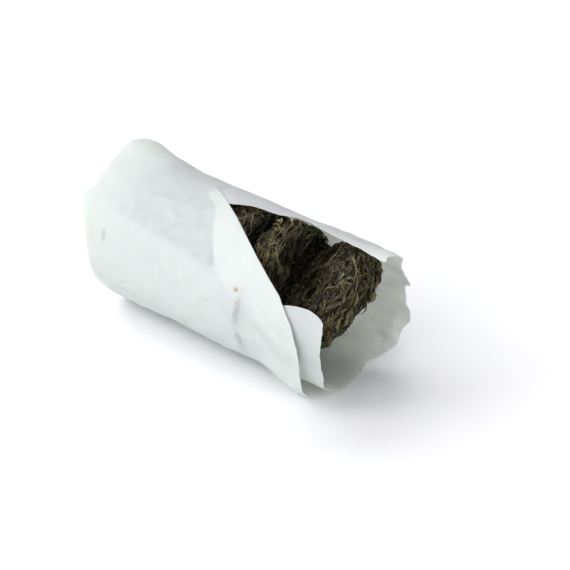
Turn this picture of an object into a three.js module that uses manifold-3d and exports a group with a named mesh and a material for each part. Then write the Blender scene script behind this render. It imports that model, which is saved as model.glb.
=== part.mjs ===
// A roll of raw pu erh tea: round pressed coins of tea leaf in one sheet of
// white tissue paper, with one end of the roll torn open.
// Units are millimetres, +Z is up, and the roll lies along X with its open
// mouth towards +X. Angles round the roll are in degrees, from 0 at the top
// through 90 at the front (-Y) and 180 at the bottom.
import * as THREE from "three";
import { mergeVertices } from "three/addons/utils/BufferGeometryUtils.js";
import Module from "manifold-3d";

// Driving dimensions of the roll
const AXIS_HEIGHT = 21.2;
const PAPER_THICKNESS = 0.4;
const PAPER_RADIUS = 20.55;
const LAYER_PITCH = 0.8;
const FLOOR_LAYER_PITCH = 0.65;
const SHEET_START = 58;
const SHEET_TOP = 350;
const SHEET_END = 550;
const COLUMN_STEP = 10;

// The closed end, where the paper folds over and is tucked in to the coins:
// [angle, x] of its slanting rim, which bulges at the back of the top
const RIM = [[0, -12.3], [20, -11.6], [40, -10.3], [51, -11.2], [62, -9.4], [72, -8], [89, -6.2],
  [120, -5.2], [200, -5.4], [280, -10.5], [322, -13.8], [345, -12.9], [360, -12.3]];
const RIM_BULGE = 1.3;
const FOLD_RADIUS = 1.2;
const TUCK_X = -2.2;
const TUCK_HOLE = 3;
const PLEATS = 8;
const PLEAT_DEPTH = 0.45;
const FUNNEL_ROWS = 4;
const FOLD_ANGLES = [215, 180, 135];

// The torn mouth: [angle, x] of the sheet's end, [x, angle] of its torn top
// edge, and [angle, x] of the outer flap's slanting edge
const SPLIT_X = 22;
const CLOSED_ROWS = 4;
const OPEN_ROWS = 8;
const MOUTH_END = [[58, 78], [65, 82], [78, 83], [100, 81.8], [121, 82], [146, 78], [178, 76.2],
  [207, 72.6], [221, 76.5], [250, 80], [262, 78.5], [279, 79.3], [300, 80.5], [322, 83], [350, 82.5]];
const TORN_TOP = [[22, 350], [30, 361], [37, 352], [46, 344], [53, 342], [62, 346], [67, 347],
  [73, 352], [83, 359]];
const FLAP_EDGE = [[350, 22], [354, 24.2], [373, 36.8], [398, 52.5], [417, 65], [434, 71.2], [450, 74.4],
  [465, 75], [484, 73.5], [510, 71.5], [550, 66]];
const FLAP_FLARE = 3.3;
const MOUTH_FLARE = 0.7;
const WRINKLE = 0.1;

// The coins, deepest first: x of the face towards the mouth, turn about Z
// and lean, in degrees
const COIN_RADIUS = 19.4;
const COIN_POSES = [
  { x: 9.3, turn: 0, lean: 0, thickness: 9.3, faceLeaves: 0, rimLeaves: 0, segments: 22 },
  { x: 19.5, turn: 1, lean: 0, thickness: 9.3, faceLeaves: 0, rimLeaves: 0, segments: 22 },
  { x: 29.8, turn: 3, lean: 0, thickness: 9.3, faceLeaves: 0, rimLeaves: 3, segments: 22 },
  { x: 41.0, turn: 6, lean: 0, thickness: 9.2, faceLeaves: 2, rimLeaves: 12, segments: 28 },
  { x: 54.0, turn: 8, lean: -1.5, thickness: 8.4, faceLeaves: 12, rimLeaves: 15, segments: 30 },
];

// The last coin has toppled against the fifth one and is pressed into its face
const TOPPLED_FACE = new THREE.Vector3(62.9, -2.5, 27.2);
const TOPPLED_NORMAL = new THREE.Vector3(-0.53, -0.39, 0.75);
const TOPPLED_RADIUS = 19.2;
const TOPPLED_THICKNESS = 8.5;
const PRESSED_IN = 4;
const NEIGHBOUR_GAP = 1.1;
const WALL_GAP = 0.4;

// Pressed leaves
const LEAF_WIDTH = 2.6;
const LEAF_DEPTH = 1.1;
const DIMPLE_RADIUS = 6.5;
const DIMPLE_DEPTH = 1.7;
const EDGE_ROUND = 2.2;

const colours = { paper: 0xe8edea, tea: 0x3a3128, teaLight: 0x4a3f31 };
const { smoothstep, degToRad, lerp } = THREE.MathUtils;

// mulberry32, so that every build lays the same leaves
function seededRandom(seed) {
  let state = seed;
  return () => {
    state = (state + 0x6d2b79f5) | 0;
    let mixed = Math.imul(state ^ (state >>> 15), 1 | state);
    mixed = (mixed + Math.imul(mixed ^ (mixed >>> 7), 61 | mixed)) ^ mixed;
    return ((mixed ^ (mixed >>> 14)) >>> 0) / 4294967296;
  };
}

function interpolate(points, at) {
  const next = points.findIndex(([key]) => key >= at);
  if (next < 0) return points.at(-1)[1];
  if (next === 0) return points[0][1];
  const [low, lowValue] = points[next - 1];
  const [high, highValue] = points[next];
  return lerp(lowValue, highValue, (at - low) / (high - low));
}

function aroundRoll(x, angle, radius) {
  const turn = degToRad(angle);
  return new THREE.Vector3(x, -radius * Math.sin(turn), AXIS_HEIGHT + radius * Math.cos(turn));
}

// How far outside the first turn the sheet runs at an angle along its winding
function layerOffset(angle) {
  return (LAYER_PITCH * (angle - SHEET_START)) / 360;
}

function rimX(angle) {
  return interpolate(RIM, angle % 360);
}

function rimBulge(angle, x) {
  const backOfTop = smoothstep(angle, 300, 325) * (1 - smoothstep(angle, 345, 365));
  return RIM_BULGE * backOfTop * smoothstep(-x, -2, 12);
}

function keepAboveFloor(point, angle) {
  const layersBelow = angle < 360 ? 1 : 0;
  point.z = Math.max(point.z, PAPER_THICKNESS / 2 + layersBelow * FLOOR_LAYER_PITCH);
  return point;
}

function wallPoint(angle, x) {
  const wave = Math.sin(degToRad(3 * angle) + x / 6) * (0.5 + 0.5 * Math.cos(degToRad(angle)));
  let radius = PAPER_RADIUS + layerOffset(angle) + rimBulge(angle, x) + WRINKLE * wave;
  let at = angle;
  if (angle <= SHEET_TOP) {
    at += (interpolate(TORN_TOP, x) - SHEET_TOP) * smoothstep(angle, 300, SHEET_TOP);
    radius += MOUTH_FLARE * smoothstep(x, 66, 82) * smoothstep(angle, 200, 260);
    radius += 0.5 * MOUTH_FLARE * smoothstep(x, 75, 82) * (1 - smoothstep(angle, 120, 160));
  } else {
    radius += FLAP_FLARE * smoothstep(x, 54, 71) * smoothstep(angle, 450, 505);
  }
  return keepAboveFloor(aroundRoll(x, at, radius), angle);
}

// Rows of one column of the sheet, from the tucked centre of the closed end
function closedEndPoints(angle) {
  const offset = layerOffset(angle);
  const bend = FOLD_RADIUS + offset;
  const bendX = rimX(angle) + FOLD_RADIUS;
  const bendRadius = PAPER_RADIUS - FOLD_RADIUS + rimBulge(angle, bendX);
  const folded = FOLD_ANGLES.map((fold) => {
    const turn = degToRad(fold);
    return [bendX + bend * Math.cos(turn), bendRadius + bend * Math.sin(turn)];
  });
  const [startX, startRadius] = folded[0];
  const points = [];
  for (let row = 0; row < FUNNEL_ROWS; row += 1) {
    const along = row / FUNNEL_ROWS;
    const pleat = PLEAT_DEPTH * Math.sin(degToRad(PLEATS * angle)) * Math.sin(Math.PI * along);
    const x = lerp(TUCK_X - offset, startX, along * along) + pleat;
    points.push(aroundRoll(x, angle, lerp(TUCK_HOLE, startRadius, along)));
  }
  folded.forEach(([x, radius]) => points.push(keepAboveFloor(aroundRoll(x, angle, radius), angle)));
  for (let row = 0; row <= CLOSED_ROWS; row += 1) {
    points.push(wallPoint(angle, lerp(bendX, SPLIT_X, row / CLOSED_ROWS)));
  }
  return points;
}

function sheetColumn(angle, endX) {
  const points = closedEndPoints(angle);
  for (let row = 1; row <= OPEN_ROWS; row += 1) {
    points.push(wallPoint(angle, lerp(SPLIT_X, endX, row / OPEN_ROWS)));
  }
  return points;
}

function columnsBetween(from, to, endAt) {
  const count = Math.round((to - from) / COLUMN_STEP);
  const columns = [];
  for (let column = 0; column <= count; column += 1) {
    const angle = lerp(from, to, column / count);
    columns.push(sheetColumn(angle, endAt(angle)));
  }
  return columns;
}

// Joins rows of points into triangles that share their equal points
function stitchSurface(patches) {
  const points = [];
  const indexOf = new Map();
  const triangles = [];
  const index = (point) => {
    const key = point.toArray().map((value) => value.toFixed(4)).join();
    if (!indexOf.has(key)) {
      indexOf.set(key, points.length);
      points.push(point);
    }
    return indexOf.get(key);
  };
  const addTriangle = (a, b, c) => {
    if (a !== b && b !== c && c !== a) triangles.push([a, b, c]);
  };
  for (const columns of patches) {
    const grid = columns.map((column) => column.map(index));
    for (let column = 0; column + 1 < grid.length; column += 1) {
      for (let row = 0; row + 1 < grid[column].length; row += 1) {
        const [a, b] = [grid[column][row], grid[column][row + 1]];
        const [c, d] = [grid[column + 1][row], grid[column + 1][row + 1]];
        addTriangle(a, c, b);
        addTriangle(b, c, d);
      }
    }
  }
  return { points, triangles };
}

function surfaceNormals({ points, triangles }) {
  const normals = points.map(() => new THREE.Vector3());
  const [edge, side] = [new THREE.Vector3(), new THREE.Vector3()];
  for (const [a, b, c] of triangles) {
    edge.subVectors(points[b], points[a]);
    side.subVectors(points[c], points[a]);
    edge.cross(side);
    [a, b, c].forEach((corner) => normals[corner].add(edge));
  }
  return normals.map((normal) => normal.normalize());
}

// Gives a surface its thickness: both faces are split alike, and a wall
// closes every free edge
function thicken(surface, thickness) {
  const { points, triangles } = surface;
  const normals = surfaceNormals(surface);
  const count = points.length;
  const positions = [];
  for (const side of [0.5, -0.5]) {
    points.forEach((point, at) => {
      const moved = point.clone().addScaledVector(normals[at], side * thickness);
      positions.push(moved.x, moved.y, Math.max(moved.z, 0));
    });
  }
  const directed = new Set(triangles.flatMap(([a, b, c]) => [`${a},${b}`, `${b},${c}`, `${c},${a}`]));
  const indices = [];
  for (const [a, b, c] of triangles) {
    indices.push(a, b, c, count + a, count + c, count + b);
    for (const [from, to] of [[a, b], [b, c], [c, a]]) {
      if (!directed.has(`${to},${from}`)) {
        indices.push(from, count + from, to, to, count + from, count + to);
      }
    }
  }
  return indexedGeometry(positions, indices);
}

function indexedGeometry(positions, indices) {
  const geometry = new THREE.BufferGeometry();
  geometry.setAttribute("position", new THREE.Float32BufferAttribute(positions, 3));
  geometry.setIndex(indices);
  return geometry;
}

function paperGeometry() {
  const innerTurn = columnsBetween(SHEET_START, SHEET_TOP, (angle) => interpolate(MOUTH_END, angle));
  const outerFlap = columnsBetween(SHEET_TOP, SHEET_END, (angle) => interpolate(FLAP_EDGE, angle));
  return thicken(stitchSurface([innerTurn, outerFlap]), PAPER_THICKNESS);
}

const wasm = await Module();
wasm.setup();

// Shares equal vertices and drops the triangles that this leaves without area
function weld(geometry) {
  const bare = geometry.clone();
  bare.deleteAttribute("normal");
  bare.deleteAttribute("uv");
  const merged = mergeVertices(bare, 1e-4);
  const kept = [];
  for (let at = 0; at < merged.index.count; at += 3) {
    const corners = [0, 1, 2].map((corner) => merged.index.getX(at + corner));
    if (new Set(corners).size === 3) kept.push(...corners);
  }
  merged.setIndex(kept);
  return merged;
}

function toSolid(geometry) {
  const welded = weld(geometry);
  const mesh = new wasm.Mesh({
    numProp: 3,
    vertProperties: new Float32Array(welded.attributes.position.array),
    triVerts: new Uint32Array(welded.index.array),
  });
  return new wasm.Manifold(mesh);
}

// The outer shell alone, without pockets sealed between leaves or loose scraps
function outerShell(solid) {
  const shells = solid.decompose();
  return shells.reduce((largest, shell) => (shell.volume() > largest.volume() ? shell : largest));
}

function toGeometry(solid) {
  const { vertProperties, triVerts } = outerShell(solid).getMesh();
  return indexedGeometry(Array.from(vertProperties), Array.from(triVerts));
}

// Height of a coin's face over its mid plane: rounded edge, raised ring and
// a dimple in the middle
function faceHeight(distance, radius, thickness) {
  const edge = Math.max(0, distance - (radius - EDGE_ROUND)) / EDGE_ROUND;
  const rounding = EDGE_ROUND * (1 - Math.sqrt(Math.max(0, 1 - edge * edge)));
  const dimple = DIMPLE_DEPTH * (1 - smoothstep(distance, 0.35 * DIMPLE_RADIUS, 1.5 * DIMPLE_RADIUS));
  return thickness / 2 - rounding - dimple;
}

function coinCore(radius, thickness, segments, seed) {
  const distances = [0, 0.5 * DIMPLE_RADIUS, 1.4 * DIMPLE_RADIUS, radius - EDGE_ROUND,
    radius - 0.25 * EDGE_ROUND, radius];
  const front = distances.map((at) => new THREE.Vector2(at, faceHeight(at, radius, thickness)));
  const back = front.map((point) => new THREE.Vector2(point.x, -point.y));
  const core = weld(new THREE.LatheGeometry([...back, ...front.reverse()], segments).rotateX(Math.PI / 2));
  const random = seededRandom(seed);
  const positions = core.attributes.position;
  for (let at = 0; at < positions.count; at += 1) {
    const bump = 1 - 0.022 * random();
    positions.setXYZ(at, positions.getX(at) * bump, positions.getY(at) * bump,
      positions.getZ(at) * (1 - 0.05 * random()));
  }
  return toSolid(core);
}

// A pressed leaf: a twisted four-sided strip with pointed ends
function leafSolid(pathAt, upAt, width, depth) {
  const stations = [0.15, 0.5, 0.85];
  const positions = [];
  const frameAt = (s) => {
    const ahead = pathAt(Math.min(1, s + 0.02)).sub(pathAt(Math.max(0, s - 0.02))).normalize();
    const side = new THREE.Vector3().crossVectors(ahead, upAt(s)).normalize();
    return { side, up: new THREE.Vector3().crossVectors(side, ahead) };
  };
  const addPoint = (point) => positions.push(point.x, point.y, point.z);
  addPoint(pathAt(0));
  for (const s of stations) {
    const { side, up } = frameAt(s);
    const swell = 0.55 + 0.45 * Math.sin(Math.PI * s);
    const twist = 0.5 * Math.sin(5 * s);
    for (let corner = 0; corner < 4; corner += 1) {
      const turn = (corner * Math.PI) / 2 + twist;
      const point = pathAt(s);
      point.addScaledVector(side, (width / 2) * swell * Math.cos(turn));
      point.addScaledVector(up, (depth / 2) * swell * Math.sin(turn));
      addPoint(point);
    }
  }
  addPoint(pathAt(1));
  const last = 1 + 4 * stations.length;
  const indices = [];
  for (let corner = 0; corner < 4; corner += 1) {
    const next = (corner + 1) % 4;
    indices.push(0, 1 + corner, 1 + next);
    for (let ring = 0; ring + 1 < stations.length; ring += 1) {
      const a = 1 + 4 * ring + corner;
      const b = 1 + 4 * ring + next;
      indices.push(a, a + 4, b, b, a + 4, b + 4);
    }
    indices.push(last, last - 4 + next, last - 4 + corner);
  }
  return toSolid(indexedGeometry(positions, indices));
}

// A leaf that swirls round the dimple on the face towards the mouth
function faceLeaf(random, radius, thickness) {
  const from = lerp(0.22, 0.86, Math.sqrt(random())) * radius;
  const to = Math.min(from + lerp(-3, 4, random()), 0.9 * radius);
  const start = 2 * Math.PI * random();
  const sweep = lerp(8, 14, random()) / Math.max(from, 7);
  const lift = lerp(-0.15, 0.2, random());
  const pathAt = (s) => {
    const distance = lerp(from, to, s);
    const turn = start + sweep * s;
    const height = faceHeight(distance, radius, thickness) + lift - 0.5 * Math.abs(2 * s - 1) ** 3;
    return new THREE.Vector3(distance * Math.cos(turn), distance * Math.sin(turn), height);
  };
  const upAt = () => new THREE.Vector3(0, 0, 1);
  return leafSolid(pathAt, upAt, LEAF_WIDTH * lerp(0.7, 1.15, random()), LEAF_DEPTH);
}

// A leaf wrapped round the side of the coin
function rimLeaf(random, radius, thickness) {
  const start = 2 * Math.PI * random();
  const sweep = lerp(8, 15, random()) / radius;
  const from = lerp(-0.36, 0.36, random()) * thickness;
  const to = THREE.MathUtils.clamp(from + lerp(-1.5, 1.5, random()), -0.38 * thickness, 0.38 * thickness);
  const pathAt = (s) => {
    const turn = start + sweep * s;
    const distance = radius - 0.35 - 0.6 * Math.abs(2 * s - 1) ** 3;
    return new THREE.Vector3(distance * Math.cos(turn), distance * Math.sin(turn), lerp(from, to, s));
  };
  const upAt = (s) => new THREE.Vector3(Math.cos(start + sweep * s), Math.sin(start + sweep * s), 0);
  return leafSolid(pathAt, upAt, LEAF_WIDTH * lerp(0.6, 1, random()), LEAF_DEPTH);
}

function coinSolid({ radius, thickness, segments, faceLeaves, rimLeaves, seed }) {
  let solid = coinCore(radius, thickness, segments, seed);
  const random = seededRandom(seed + 100);
  for (let leaf = 0; leaf < faceLeaves; leaf += 1) solid = solid.add(faceLeaf(random, radius, thickness));
  for (let leaf = 0; leaf < rimLeaves; leaf += 1) solid = solid.add(rimLeaf(random, radius, thickness));
  return solid;
}

function namedMesh(name, geometry, color, roughness) {
  const material = new THREE.MeshStandardMaterial({ color, roughness, metalness: 0 });
  const mesh = new THREE.Mesh(geometry, material);
  mesh.name = name;
  return mesh;
}

function placeCoin(coin, middle, normal) {
  coin.quaternion.setFromUnitVectors(new THREE.Vector3(0, 0, 1), normal);
  coin.position.copy(middle);
  coin.updateMatrix();
  return coin;
}

function coinNormal({ turn, lean }) {
  return new THREE.Vector3(1, 0, 0)
    .applyAxisAngle(new THREE.Vector3(0, 1, 0), -degToRad(lean))
    .applyAxisAngle(new THREE.Vector3(0, 0, 1), degToRad(turn));
}

function coinMiddle(pose) {
  return new THREE.Vector3(pose.x - (coinNormal(pose).x * pose.thickness) / 2, 0, AXIS_HEIGHT);
}

function stackedCoin(pose, index) {
  const shape = { ...pose, radius: COIN_RADIUS, seed: index + 1 };
  const coin = namedMesh(`tea_coin_${index + 1}`, toGeometry(coinSolid(shape)), colours.tea, 0.9);
  return placeCoin(coin, coinMiddle(pose), coinNormal(pose));
}

// Everything behind a plane that stands clear of the fifth coin's middle by a
// distance along its axis
function behindFifthCoin(clear) {
  const neighbour = COIN_POSES.at(-1);
  const normal = coinNormal(neighbour);
  const facing = new THREE.Quaternion().setFromUnitVectors(new THREE.Vector3(1, 0, 0), normal);
  const face = coinMiddle(neighbour).addScaledVector(normal, clear);
  const block = new THREE.BoxGeometry(20, 60, 60).translate(-10, 0, 0);
  return block.applyMatrix4(new THREE.Matrix4().compose(face, facing, new THREE.Vector3(1, 1, 1)));
}

function placeToppled(coin) {
  const normal = TOPPLED_NORMAL.clone().normalize();
  return placeCoin(coin, TOPPLED_FACE.clone().addScaledVector(normal, -TOPPLED_THICKNESS / 2), normal);
}

// The fifth coin has a dent where the toppled one presses into its face
function dentFifthCoin(coin) {
  const radius = TOPPLED_RADIUS + NEIGHBOUR_GAP;
  const press = new THREE.CylinderGeometry(radius, radius, TOPPLED_THICKNESS + 2 * NEIGHBOUR_GAP, 32);
  press.rotateX(Math.PI / 2);
  press.applyMatrix4(placeToppled(new THREE.Object3D()).matrix);
  const depth = COIN_POSES.at(-1).thickness / 2 - PRESSED_IN;
  const ownFrame = coin.matrix.clone().invert();
  const pressed = toSolid(press.applyMatrix4(ownFrame))
    .subtract(toSolid(behindFifthCoin(depth).applyMatrix4(ownFrame)));
  coin.geometry = toGeometry(toSolid(coin.geometry).subtract(pressed));
  return coin;
}

// The toppled coin is pressed flat where it leans on the fifth coin, and its
// edge is worn where it rubs along the paper
function toppledCoin() {
  const solid = coinSolid({ radius: TOPPLED_RADIUS, thickness: TOPPLED_THICKNESS, segments: 32,
    faceLeaves: 30, rimLeaves: 15, seed: 6 });
  const coin = placeToppled(namedMesh("tea_coin_6", toGeometry(solid), colours.teaLight, 0.85));
  const ownFrame = coin.matrix.clone().invert();
  const clear = COIN_POSES.at(-1).thickness / 2 - PRESSED_IN + NEIGHBOUR_GAP;

  const boreRadius = PAPER_RADIUS - PAPER_THICKNESS / 2 - WALL_GAP;
  const bore = new THREE.CylinderGeometry(boreRadius, boreRadius, 120, 48).rotateZ(Math.PI / 2);
  bore.translate(TOPPLED_FACE.x, 0, AXIS_HEIGHT);

  const worn = solid
    .subtract(toSolid(behindFifthCoin(clear).applyMatrix4(ownFrame)))
    .intersect(toSolid(bore.applyMatrix4(ownFrame)));
  coin.geometry = toGeometry(worn);
  return coin;
}

const roll = new THREE.Group();
roll.add(namedMesh("paper_wrap", paperGeometry(), colours.paper, 0.8));
const stack = COIN_POSES.map(stackedCoin);
dentFifthCoin(stack.at(-1));
roll.add(...stack, toppledCoin());

// The origin is under the middle of the roll, on the surface it lies on
const box = new THREE.Box3().setFromObject(roll, true);
roll.position.set(-(box.min.x + box.max.x) / 2, -(box.min.y + box.max.y) / 2, -box.min.z);

export default roll;
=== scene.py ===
# %% [markdown]
# # Raw pu-erh tea: pressed coins in a torn roll of tissue paper
# The object is a roll of small round coins of pressed tea leaf. One sheet of thin white tissue goes
# round them a little more than once. Its one end is folded over and tucked in, and its other end has
# been torn open, so that the last coins show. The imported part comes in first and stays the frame: each
# piece made here stands in for one of its solids, at the same place and size.

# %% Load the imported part
import math

import bpy
import numpy as np
from mathutils import Matrix, Vector, noise


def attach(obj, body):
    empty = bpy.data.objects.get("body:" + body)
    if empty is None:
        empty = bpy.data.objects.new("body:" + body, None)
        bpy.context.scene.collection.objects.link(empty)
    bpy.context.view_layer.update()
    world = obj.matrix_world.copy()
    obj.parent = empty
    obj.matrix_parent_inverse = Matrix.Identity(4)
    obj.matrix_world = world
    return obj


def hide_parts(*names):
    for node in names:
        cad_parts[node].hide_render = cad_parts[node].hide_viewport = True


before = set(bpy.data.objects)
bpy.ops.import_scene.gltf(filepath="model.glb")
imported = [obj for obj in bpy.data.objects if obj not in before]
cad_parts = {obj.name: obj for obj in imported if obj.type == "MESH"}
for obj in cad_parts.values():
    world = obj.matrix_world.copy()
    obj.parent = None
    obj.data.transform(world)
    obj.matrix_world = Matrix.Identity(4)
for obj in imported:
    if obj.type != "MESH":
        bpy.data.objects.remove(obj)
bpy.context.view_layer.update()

MM = 0.001

# %% [markdown]
# ## The camera
# The photograph was taken from well above the mouth of the roll with a long lens, because the far
# rim of the roll looks hardly smaller than the near one. So the camera stands 1.4 m off, looks down
# by 31 degrees, and has a lens of about 310 mm instead of standing close with a wide one.

# %% Camera
CAMERA_PLACE = (0.8114, -0.8886, 0.7435)
CAMERA_LOOKS_DOWN = 31.155
CAMERA_TURN = 41.81
CAMERA_LENS = 311.24

camera_data = bpy.data.cameras.new("camera")
camera_data.lens = CAMERA_LENS
camera_data.sensor_width = 36
camera_data.clip_end = 20
camera = bpy.data.objects.new("camera", camera_data)
camera.location = CAMERA_PLACE
camera.rotation_euler = (math.radians(90 - CAMERA_LOOKS_DOWN), 0, math.radians(CAMERA_TURN))
bpy.context.scene.collection.objects.link(camera)
bpy.context.scene.camera = camera
print("the camera stands at", CAMERA_PLACE)

# %% [markdown]
# ## Small helpers
# Colours are written as sRGB hex values, as a paint program shows them, and the shaders want linear
# numbers, so one function turns them. Another adds a node with its settings and its links, so that a
# material below reads as a list of what it is made of.

# %% Helpers for colours, nodes and selections
def linear(hex_colour):
    """An sRGB hex colour as linear red, green, blue and alpha."""
    channels = [int(hex_colour[at:at + 2], 16) / 255 for at in (1, 3, 5)]
    turned = [c / 12.92 if c <= 0.04045 else ((c + 0.055) / 1.055) ** 2.4 for c in channels]
    return (*turned, 1.0)


def add_node(tree, kind, inputs=None, stops=None, **settings):
    """Adds a node. Each input takes a plain value or the output socket that feeds it."""
    made = tree.nodes.new(kind)
    for name, value in settings.items():
        setattr(made, name, value)
    for name, value in (inputs or {}).items():
        socket = made.inputs[name]
        if isinstance(value, bpy.types.NodeSocket):
            tree.links.new(value, socket)
        else:
            socket.default_value = value
    if stops:
        ramp = made.color_ramp
        while len(ramp.elements) < len(stops):
            ramp.elements.new(0.5)
        for element, (place, colour) in zip(ramp.elements, stops):
            element.position = place
            element.color = linear(colour)
    return made


def noise_texture(tree, places, scale, detail, roughness):
    return add_node(tree, "ShaderNodeTexNoise", {"Vector": places, "Scale": scale, "Detail": detail,
                    "Roughness": roughness}).outputs["Fac"]


def map_range(tree, value, source, target, **settings):
    """A value turned from one range into another."""
    inputs = {"Value": value, "From Min": source[0], "From Max": source[1], "To Min": target[0],
              "To Max": target[1]}
    return add_node(tree, "ShaderNodeMapRange", inputs, **settings).outputs["Result"]


def new_material(name):
    material = bpy.data.materials.new(name)
    material.use_nodes = True
    material.node_tree.nodes.clear()
    return material


def only(piece):
    """Selects one object alone and makes it the active one."""
    bpy.ops.object.select_all(action="DESELECT")
    piece.select_set(True)
    bpy.context.view_layer.objects.active = piece


def set_mode(mode):
    bpy.ops.object.mode_set(mode=mode)


def points_of(mesh):
    flat = np.empty(len(mesh.vertices) * 3, np.float32)
    mesh.vertices.foreach_get("co", flat)
    return flat.reshape(-1, 3).astype(float)


def move_points(mesh, places):
    mesh.vertices.foreach_set("co", np.ascontiguousarray(places, np.float32).ravel())
    mesh.update()


def add_values(mesh, name, kind, values):
    """Keeps a value at every point, for a material to read."""
    made = mesh.attributes.new(name, kind, "POINT")
    field = "vector" if kind == "FLOAT_VECTOR" else "value"
    made.data.foreach_set(field, np.asarray(values, np.float32).ravel())


def smooth_step(value, low, high):
    share = np.clip((value - low) / (high - low), 0, 1)
    return share * share * (3 - 2 * share)


def along_line(points, at):
    """Reads a bent line of (key, value) points."""
    keys, values = zip(*points)
    return np.interp(at, keys, values)


def rounded_line(points, at, reach):
    """The same line with its corners rounded over a reach to both sides."""
    return np.mean([along_line(points, at + reach * share) for share in (-1, -0.5, 0, 0.5, 1)], axis=0)


def noise_field(places, size, shift=0.0):
    """Smooth random values from -1 to 1 in space, with bumps about as wide as size."""
    scaled = places / size + shift
    return np.array([noise.noise(Vector(place)) for place in scaled])


print("helpers are ready")

# %% [markdown]
# ## The frame of the roll
# All sizes below are millimetres along the roll: x runs from the back of the deepest coin towards the
# open mouth, and angles go round the roll, from 0 at its top through 90 at its front and 180 at its
# bottom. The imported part's origin lies under the middle of the roll, so every place is shifted there.

# %% Places on the roll
ROLL_SHIFT = np.array([-34.298, -0.111, 0.0])
AXIS_HEIGHT = 21.2
PAPER_RADIUS = 20.55
LAYER_PITCH = 0.8
FLOOR_LAYER_PITCH = 0.65


def around_roll(x, angle, radius):
    turn = np.radians(angle)
    return np.stack([x, -radius * np.sin(turn), AXIS_HEIGHT + radius * np.cos(turn)], axis=-1)


def to_frame(places):
    """From millimetres on the roll to metres in the part's own frame."""
    return (np.asarray(places) + ROLL_SHIFT) * MM


# %% [markdown]
# ## The paper's form
# The wrap is one sheet: it starts under the flap at the front, goes round by the bottom, the back and
# the top, and then covers its own start. It could be cloth-simulated, but its folds were made by
# hand, so it is rolled from a flat grid instead: each point of the grid has a place along the winding
# and a place along the roll, and a few named lines say where the torn and folded edges run.

# %% Lines of the sheet
SHEET_START = 58
SHEET_TOP = 350
SHEET_END = 550
SPLIT_X = 22

# The slanting rim of the closed end: (angle, x)
RIM = [(0, -12.4), (7, -11.9), (17, -11.3), (26, -10.7), (34, -10.3), (39, -10.1), (42, -11.2),
       (46, -12.4), (49, -12.4), (53, -11.5), (62, -9.8), (72, -8), (89, -6.2), (120, -5.2),
       (200, -5.4), (280, -10.5), (322, -13.2), (345, -12.9), (360, -12.4)]
# How far the sheet stands out along the back of its top: (x, mm)
TOP_LINE = [(-14, 2.0), (-10.2, 2.45), (-7, 1.6), (-3.5, 0.8), (-0.7, 0.35), (4, -0.1), (8, -0.4),
            (16, -0.25), (26, -0.15), (40, 0), (49, 0.15), (57, 0.65), (64, 0.5), (71, 0.35),
            (76, 0.55), (80, 0.65), (85, 0.65)]
FOLD_RADIUS = 1.2
TUCK_X = -2.2
TUCK_HOLE = 3.0
PLEATS = 15
PLEAT_DEPTH = 0.55

# The sheet's ragged end at the mouth: (angle, x)
MOUTH_END = [(58, 80), (62, 80.3), (65, 80.6), (79, 80.7), (97, 80.3), (110, 79.8), (119, 80.2),
             (127, 79.6), (146, 77.2), (178, 76.2), (207, 73.5), (221, 77), (230, 79.2),
             (240, 78.5), (244, 79), (249, 80.2), (253, 80.1), (259, 79), (265, 78.2), (271, 77.2),
             (276.5, 77.3), (279, 80), (281, 79.2), (285, 77.8), (292, 77.7), (300, 78.4),
             (308, 80), (316, 81.6), (322, 83.2), (328, 84.5), (333, 83.8), (339, 83.6),
             (344, 84.4), (350, 85.9)]
# The torn edge along the top: (x, angle)
TORN_TOP = [(22, 350), (24, 357), (27, 362), (29.5, 363), (31.5, 361.5), (34.5, 358), (36.7, 354),
            (41, 352.5), (45, 350.5), (47.7, 346.5), (50.2, 342.5), (53.3, 342), (57, 343.2),
            (61, 345.5), (65, 346.5), (70, 346), (76, 349), (82, 351.7), (84, 353.3), (86, 352)]
# The sheet's own start, which shows through the flap: (x, angle)
SEAM = [(-6, 49), (-2, 49), (-1, 56), (2, 51), (6.5, 52), (12.8, 54), (18.8, 55), (25.5, 54),
        (31.2, 59), (38.8, 59), (50, 58), (60, 60), (66, 63), (68, 61), (70.5, 59), (74, 57.7),
        (75.5, 58), (77, 58.8), (78.4, 60.3), (79.4, 62), (80.3, 65)]
# The flap's slanting edge, and how wide a margin is folded in along it: (angle, mm)
FLAP_EDGE = [(350, 22), (354, 24.2), (373, 36.8), (398, 52.5), (417, 65), (434, 71.2), (450, 74.4),
             (465, 75.2), (484, 74.6), (500, 73), (508, 71.8), (512, 69), (520, 60), (550, 52)]
MARGIN = [(350, 0.2), (354, 0.8), (359, 4.7), (363, 7.7), (371, 7.3), (381, 10.3), (392, 14.7),
          (406, 20), (416, 24), (423, 24), (431, 22), (433, 17.7), (439, 14), (450, 10.4), (457, 3),
          (465, 1.8), (480, 0.5), (550, 0.5)]
MARGIN_GAP = 0.3
FLAP_FLARE = 3.3
MOUTH_FLARE = 0.7
MOUTH_CURL = 2.6
print("the winding covers", SHEET_END - SHEET_START, "degrees")

# %% [markdown]
# Handled tissue has soft dents, sharper creases between them and a fine crinkle. Smooth noise gives
# the dents, and noise folded at zero gives sharp ridges. Both turns of the sheet read the same noise,
# so that they lie in each other's dents and never cross.

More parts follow.
